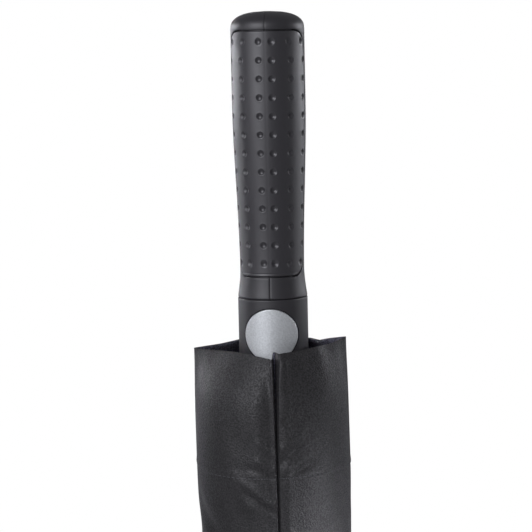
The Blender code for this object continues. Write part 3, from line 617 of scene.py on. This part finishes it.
def sleeve():
    seam_u = 5.2  # mm right of the front, on the unrolled cloth
    sections = 300
    base = np.linspace(-math.pi, math.pi, sections, endpoint=False)
    # The grid is denser at the front seam.
    unrolled_r = SLEEVE_R / MM
    seam_a = seam_u / unrolled_r
    dense = seam_a + np.sinh(np.linspace(-3.2, 3.2, 120)) / math.sinh(3.2) * 0.5
    angles = np.unique(np.concatenate([base[np.abs(base - seam_a) > 0.5], dense]))
    heights = np.concatenate(
        [
            np.linspace(0, 2.0, 8),
            np.arange(3.0, 130.0, 1.0),
            np.arange(132.0, 300.0, 3.0),
            np.arange(304.0, 740.0, 6.0),
            np.linspace(741.0, 815.0, 24),
        ]
    )
    a, t = np.meshgrid(angles, heights)  # t is millimetres below the rim
    u = a * unrolled_r
    # The rim: low at the front seam, stepped there, and peaked at the right corner
    degrees = np.degrees(a)
    seam_deg = math.degrees(seam_a)
    seam_step = [seam_deg - 0.5, seam_deg + 0.5]
    at = [-180, -150, -120, -90, -75, -45, -20] + seam_step + [25, 50, 68, 80, 90, 100, 125, 180]
    up = [0.0, 0.0, -0.2, -0.4, 0.0, 0.6, 0.2, -1.6, 0.9, 1.6, 2.6, 2.8, 3.9, 4.9, 3.6, 0.6, 0.0]
    lift = np.interp(degrees, at, up)
    z = (RIM_Z / MM + lift * np.exp(-t / 30.0)) - t
    # The cross-section: flat panels between corners at the rim, round further down
    share = np.clip((z - SLEEVE_FOOT_Z / MM) / (RIM_Z / MM - SLEEVE_FOOT_Z / MM), 0, 1)
    round_r = SLEEVE_FOOT_R / MM + (SLEEVE_R - SLEEVE_FOOT_R) / MM * np.sin(share * math.pi / 2) ** 0.9
    round_r = round_r + 0.7 * smooth(10, 70, t)
    corners = [
        (-38.6, 0.0), (-31.8, -10.5), (-19.0, -22.0), (-6.0, -31.0), (5.0, -36.2), (17.0, -30.0),
        (28.5, -20.5), (35.3, -9.5), (38.6, 0.5), (21.0, 29.0), (-18.5, 30.5),
    ]
    flat_r = section(angles, corners)[None, :]
    flatness = np.exp(-((t / 17.0) ** 2))
    r = round_r * (1 - flatness) + flat_r * flatness
    # Sharp creases at the two sides
    for at in (-math.pi / 2, math.pi / 2):
        r = r + 1.3 * np.exp(-np.abs(a - at) / 0.07) * np.exp(-t / 70.0)
    # The panels curl in a little towards the rim
    middle = smooth(0.0, 0.5, np.abs(np.abs(a) - math.pi / 2))
    r = r - middle * (1.5 * np.exp(-((t / 3.0) ** 1.5)) + 1.3 * np.exp(-((t / 9.0) ** 2)))
    # The front seam: a slit at the rim that closes to a line
    du = u - seam_u
    depth = 1.3 + 5.5 * np.exp(-t / 34.0)
    wide = 0.25 + 1.5 * np.exp(-t / 16.0)
    soft = 0.4 + 0.9 * np.exp(-t / 26.0)
    left_side = np.exp(-((np.clip(-du, 0, None) / 0.45) ** 2))
    right_side = np.exp(-((np.clip(du - wide, 0, None) / soft) ** 2))
    valley = np.where(du < 0, left_side, right_side)
    r = r - depth * valley
    r = r + 0.6 * np.exp(-(((du + 1.2) / 0.8) ** 2)) * np.exp(-t / 60.0)
    # Puffed cloth beside the seam, puckered by its stitching
    pucker = 0.75 + 0.25 * np.sin(z / 2.9 + 1.1 * np.sin(z / 7.0))
    r = r + 1.7 * pucker * np.exp(-(((du - wide - 4.6) / 3.0) ** 2)) * smooth(0, 5, t) * np.exp(-t / 95.0)
    r = r - 0.55 * (1.5 - pucker) * np.exp(-(((du + 3.6) / 2.4) ** 2)) * smooth(4, 14, t)
    r = r + 0.8 * np.exp(-(((du + 9.5) / 4.5) ** 2)) * smooth(4, 24, t)
    # Folds and slack
    folds = [
        ((6.5, 781.0), (20.0, 792.0), 1.0, 2.4),
        ((7.0, 775.0), (17.0, 783.5), -0.9, 1.8),
        ((9.0, 768.0), (27.0, 775.5), -0.7, 1.5),
        ((-13.0, 766.0), (2.5, 754.0), 1.2, 2.4),
        ((-10.0, 759.5), (2.5, 750.0), -1.0, 2.0),
        ((-4.0, 786.0), (3.8, 779.0), 0.8, 1.6),
        ((-5.0, 777.0), (3.8, 771.0), 0.9, 1.7),
        ((-9.0, 772.5), (2.5, 768.0), -0.8, 1.8),
        ((-18.0, 768.0), (-8.0, 750.0), 0.9, 4.0),
        ((-30.0, 815.0), (-12.0, 780.0), -0.7, 7.0),
        ((8.0, 772.0), (24.0, 779.0), 0.5, 2.2),
        ((14.0, 818.0), (30.0, 770.0), -0.6, 8.0),
        ((-52.0, 752.0), (-30.0, 736.0), -1.3, 6.0),
        ((40.0, 770.0), (54.0, 745.0), -0.8, 7.0),
    ]
    for first, last, height, width in folds:
        r = r + ridge(u, z, first, last, height, width)
    dent = np.exp(-(((a + 1.5) / 0.55) ** 2)) * np.exp(-(((z - 733.0) / 12.0) ** 2))
    r = r - 1.4 * dent
    slack = np.exp(-(((z - 767.0) / 60.0) ** 2))
    wave = np.sin(3 * a + 0.8) * np.sin(z / 23.0 + 1.1) + 0.6 * np.sin(5 * a - z / 17.0)
    r = r + 0.45 * wave * smooth(0, 25, t) * (0.5 + 0.5 * slack)
    lower = smooth(110, 200, t)
    rumple = 0.9 * np.sin(2 * a + z / 60.0) + 0.8 * np.sin(7 * a + z / 31.0) + 0.5 * np.sin(11 * a - z / 19.0)
    r = r + lower * rumple
    # Hem stitching pulls the cloth in a little
    hem_line = z - STITCH_Z / MM
    r = r - 0.16 * np.exp(-((hem_line / 0.5) ** 2)) + 0.25 * np.exp(-(((hem_line - 2.2) / 1.6) ** 2))
    # The foot closes round the ferrule
    close = smooth(742, 812, t)
    r = r * (1 - close) + (13.2 + 1.5 * np.sin(9 * a)) * close
    # Sleeve leans on the canopy: its mouth sits a little left of the shaft
    lean = -2.2 * np.exp(-t / 160.0)
    x = (r * np.sin(a) + lean) * MM
    y = -r * np.cos(a) * MM
    outer = np.stack([x, y, z * MM], -1)
    rows, columns = a.shape
    thick = np.minimum(1.0, 0.25 + t / 2.0)
    ri = r - thick
    inner = np.stack([(ri * np.sin(a) + lean) * MM, -ri * np.cos(a) * MM, z * MM], -1)
    inner[0, :, 2] -= 0.0002
    points = list(outer.reshape(-1, 3)) + list(inner.reshape(-1, 3))
    start = rows * columns
    faces = grid_faces(rows, columns, wrap=True)
    slit = (du > 0.3) & (du < wide - 0.1) & (t < 70)
    finish = [1 if slit[i, j] else 0 for i in range(rows - 1) for j in range(columns)]
    back = [tuple(reversed(f)) for f in grid_faces(rows, columns, wrap=True, start=start)]
    faces += back
    finish += [1] * len(back)
    low = (rows - 1) * columns
    for j in range(columns):
        k = (j + 1) % columns
        faces.append((k, j, start + j, start + k))
        faces.append((low + j, low + k, start + low + k, start + low + j))
        finish += [0, 0]
    # Stitches: short raised threads along the hem line
    line = int(np.argmin(np.abs(heights - (RIM_Z - STITCH_Z) / MM)))
    path = outer[line]
    count = 105
    extent = np.linspace(0, 1, count, endpoint=False)
    positions = np.arange(columns + 1) / columns
    ring = np.vstack([path, path[:1]])
    for i in range(count):
        s0, s1 = extent[i], extent[i] + 0.62 / count
        p0 = np.array([np.interp(s0, positions, ring[:, k]) for k in range(3)])
        p1 = np.array([np.interp(s1, positions, ring[:, k]) for k in range(3)])
        radial = np.array([p0[0], p0[1], 0.0])
        radial /= np.linalg.norm(radial)
        upward = np.array([0, 0, 1.0])
        begin = len(points)
        for p in (p0, p1):
            points.append(p + radial * 0.2 * MM)
            points.append(p + radial * 0.05 * MM + upward * 0.2 * MM)
            points.append(p - radial * 0.1 * MM)
            points.append(p + radial * 0.05 * MM - upward * 0.2 * MM)
        for k in range(4):
            m = (k + 1) % 4
            faces.append((begin + k, begin + m, begin + 4 + m, begin + 4 + k))
            finish.append(2)
        faces.append((begin + 3, begin + 2, begin + 1, begin))
        faces.append((begin + 4, begin + 5, begin + 6, begin + 7))
        finish += [2, 2]
    obj = add("sleeve_cloth", points, faces, [SLEEVE, SLEEVE_INSIDE, THREAD], finish, sharp=60)
    outward(obj)
    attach(obj, "sleeve")
    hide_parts("sleeve")
    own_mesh(obj)


sleeve()


# ---------------------------------------------------------------- canopy and tie strap

NOTCH_Z = 80 * MM
RIB_LENGTH = 735 * MM
HEM_LENGTH = 719 * MM  # along a rib, from the notch to the hem
HALF_GORE = math.radians(20.03)  # half the angle between two neighbouring ribs, opened
EIGHTH = math.tau / 8


def rod_r(along):
    """Where the cloth lies outside a closed rib, at distances above the notch."""
    share = along / RIB_LENGTH
    clip = 1.8 * np.exp(-(((along - 320 * MM) / (16 * MM)) ** 2))
    return (12.5 + 16 * share + 18.4 * share * (1 - share) + clip) * MM


def hem(across):
    """The gore's length from the notch, at a share of its width: nearly straight, and hollowed a little."""
    side = 2 * across - 1
    return HEM_LENGTH * math.cos(HALF_GORE) / np.cos(HALF_GORE * side) - 14 * MM * (1 - side**2)


def opening_gore(k):
    """A gore stretched between ribs k and k + 1, which is a fan when open; here it is built gathered between
    them, as when closed.
    """
    narrow = rod_r(8 * MM) * math.sin(EIGHTH / 2)
    share = np.linspace(0, 1, 33)
    gathered = 0.5 - np.sin(np.arcsin(1 - 2 * share) / 3)
    along = np.concatenate([np.linspace(0.012, 0.983, 44), [0.984, 1.0]])
    fraction, across = np.meshgrid(along, np.concatenate([[0], share, [1]]), indexing="ij")
    z = fraction * hem(across)
    radius = rod_r(z) + np.where(fraction > 0.9835, 0.4, 0) * MM
    sideways = (2 * np.concatenate([[0], gathered, [1]]) - 1)[None, :] * narrow * np.ones_like(z)
    sideways[:, 0] = -radius[:, 0] * math.sin(EIGHTH / 2)
    sideways[:, -1] = radius[:, -1] * math.sin(EIGHTH / 2)
    middle = (k - 0.5) * EIGHTH
    angle = middle + np.arcsin(sideways / radius)
    points = np.stack([radius * np.cos(angle), radius * np.sin(angle), z + NOTCH_Z], -1)
    rows, columns = z.shape
    obj = add(f"canopy_gore_{k}_open", points.reshape(-1, 3), grid_faces(rows, columns), CANOPY, sharp=60)
    across = Vector((-math.sin(middle), math.cos(middle), 0)) * narrow
    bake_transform(obj)
    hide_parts(f"canopy_gore_{k}")


def folded_gore(k):
    """The same gore folded in two along its middle, and rolled round the closed ribs."""
    pitch = 5.0 * MM
    turn = np.linspace(0, 1, 44) ** 0.8 * HALF_GORE
    turn = np.concatenate([turn, turn[-2::-1]])
    layer = np.concatenate([np.full(43, 0.26), [0.13], np.zeros(43)]) * MM
    fraction, spread = np.meshgrid(np.linspace(0.02, 1, 50), turn, indexing="ij")
    reach = fraction * hem(spread / HALF_GORE / 2)
    z, wide = reach * np.cos(spread), reach * np.sin(spread)
    start = rod_r(z) + 0.6 * MM
    wound = (np.sqrt(start**2 + pitch * wide / math.pi) - start) * math.tau / pitch
    angle = (k - 1) * EIGHTH + wound
    radius = start + pitch * wound / math.tau + layer[None, :]
    ease = smooth(0.03, 0.3, z)
    radius = radius + ease * 0.45 * MM * (np.sin(3 * angle + z / 0.05) + 0.5 * np.sin(7 * angle - z / 0.021))
    points = np.stack([radius * np.cos(angle), radius * np.sin(angle), z + NOTCH_Z], -1)
    rows, columns = z.shape
    obj = add(f"canopy_gore_{k}_folded", points.reshape(-1, 3), grid_faces(rows, columns), CANOPY, sharp=60)
    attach(obj, "handle_and_shaft")
    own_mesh(obj)


def tie_strap():
    """A narrow band sewn to a gore, wrapped once round the folded canopy, its end lapped over."""
    turns = np.linspace(0, math.tau * 1.12, 150)
    height = np.linspace(-12.0, 12.0, 9) * MM
    h, a = np.meshgrid(height, turns, indexing="ij")
    tip = np.clip((a - math.tau * 1.06) / (math.tau * 0.06), 0, 1)
    h = h * np.sqrt(np.maximum(1 - tip**2 * 0.75, 0.0))
    radius = 34.75 * MM + 0.42 * MM * smooth(0, math.tau * 1.12, a) + 0.1 * MM * np.cos(h / MM * 0.9)
    angle = a - 2.2
    skins = []
    for r in (radius + 0.55 * MM, radius):
        skins.append(np.stack([r * np.cos(angle), r * np.sin(angle), h + 640 * MM], -1).reshape(-1, 3))
    rows, columns = h.shape
    count = rows * columns
    faces = grid_faces(rows, columns) + [tuple(reversed(f)) for f in grid_faces(rows, columns, start=count)]
    edge = [j for j in range(columns)] + [i * columns + columns - 1 for i in range(1, rows)]
    edge += [(rows - 1) * columns + j for j in range(columns - 2, -1, -1)]
    edge += [i * columns for i in range(rows - 2, 0, -1)]
    for p, q in zip(edge, edge[1:] + edge[:1]):
        faces.append((q, p, count + p, count + q))
    obj = outward(add("tie_strap_band", np.vstack(skins), faces, CANOPY, sharp=60))
    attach(obj, "rib_1")
    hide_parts("tie_strap")
    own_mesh(obj)


for k in range(1, 9):
    opening_gore(k)
    folded_gore(k)
tie_strap()


# ---------------------------------------------------------------- stage, lights and camera


def floor():
    bpy.ops.mesh.primitive_circle_add(vertices=128, radius=1.9, fill_type="NGON", location=(0, 0, 0))
    obj = bpy.context.object
    obj.name = "floor"
    paint = plain("floor paint", (0.9, 0.9, 0.9), 0.6, specular=0.2)
    path = paint.node_tree.nodes.new("ShaderNodeLightPath")
    glow = paint.node_tree.nodes.new("ShaderNodeMath")
    glow.operation = "MULTIPLY"
    glow.inputs[1].default_value = 0.4
    shader = paint.node_tree.nodes["Principled BSDF"]
    shader.inputs["Emission Color"].default_value = (1, 1, 1, 1)
    paint.node_tree.links.new(path.outputs["Is Camera Ray"], glow.inputs[0])
    paint.node_tree.links.new(glow.outputs["Value"], shader.inputs["Emission Strength"])
    obj.data.materials.append(paint)


def area_light(name, azimuth, elevation, distance, size, power, aim=(0, 0, 0.87), tall=None, spread=180):
    """A soft panel. Azimuth is from the front (-Y) towards +X. A small spread is a panel with a grid."""
    data = bpy.data.lights.new(name, "AREA")
    data.shape = "RECTANGLE"
    data.size = size
    data.size_y = tall or size
    data.energy = power
    data.spread = math.radians(spread)
    data.color = (0.93, 0.935, 1.0)
    obj = bpy.data.objects.new(name, data)
    bpy.context.scene.collection.objects.link(obj)
    a, e = math.radians(azimuth), math.radians(elevation)
    away = Vector((math.sin(a) * math.cos(e), -math.cos(a) * math.cos(e), math.sin(e)))
    obj.location = Vector(aim) + away * distance
    obj.rotation_euler = away.to_track_quat("Z", "Y").to_euler()


def world():
    made = bpy.data.worlds.new("studio")
    made.use_nodes = True
    tree = made.node_tree
    tree.nodes.clear()
    out = tree.nodes.new("ShaderNodeOutputWorld")
    path = tree.nodes.new("ShaderNodeLightPath")
    seen = tree.nodes.new("ShaderNodeBackground")
    seen.inputs["Color"].default_value = (1, 1, 1, 1)
    seen.inputs["Strength"].default_value = 1.0
    lit = tree.nodes.new("ShaderNodeBackground")
    lit.inputs["Color"].default_value = (0.94, 0.94, 1, 1)
    lit.inputs["Strength"].default_value = 0.26
    pick = tree.nodes.new("ShaderNodeMixShader")
    tree.links.new(path.outputs["Is Camera Ray"], pick.inputs["Fac"])
    tree.links.new(lit.outputs["Background"], pick.inputs[1])
    tree.links.new(seen.outputs["Background"], pick.inputs[2])
    tree.links.new(pick.outputs["Shader"], out.inputs["Surface"])
    bpy.context.scene.world = made


def camera():
    """In front of the button and a little to its right, level with the handle's top, looking down."""
    azimuth = math.radians(4.7)
    distance = 1.04
    place = Vector((math.sin(azimuth) * distance, -math.cos(azimuth) * distance, 0.988))
    pitch = math.radians(6.46)
    yaw = math.radians(0.175)
    heading = azimuth + yaw
    level = math.cos(pitch)
    forward = Vector((-math.sin(heading) * level, math.cos(heading) * level, -math.sin(pitch)))
    side = forward.cross(Vector((0, 0, 1))).normalized()
    top = side.cross(forward)
    roll = Matrix.Rotation(math.radians(-1.22), 3, -forward)
    turn = Matrix((roll @ side, roll @ top, -forward)).transposed()
    data = bpy.data.cameras.new("camera")
    data.lens = 138.05
    data.sensor_width = 36.0
    data.clip_start = 0.05
    data.clip_end = 20
    obj = bpy.data.objects.new("camera", data)
    bpy.context.scene.collection.objects.link(obj)
    obj.matrix_world = Matrix.Translation(place) @ turn.to_4x4()
    bpy.context.scene.camera = obj


floor()
world()
for azimuth, power in ((-46, 3.4), (-32, 9.0), (-20, 4.8), (-8, 1.1)):
    area_light(f"key {azimuth}", azimuth, 22, 1.5, 0.3, power, tall=0.9)
for azimuth, power in ((-105, 0.05), (-130, 0.15), (105, 0.035), (130, 0.09)):
    area_light(f"edge {azimuth}", azimuth, 8, 1.3, 0.45, power, aim=(0, 0, 0.92), tall=0.2, spread=12)
for azimuth, power in ((60, 0.12), (90, 0.1)):
    area_light(f"low fill {azimuth}", azimuth, -4, 1.3, 0.35, power, aim=(0, 0, 0.69), tall=0.1, spread=10)
camera()
view = bpy.context.scene.view_settings
view.view_transform = "Standard"
view.look = "None"
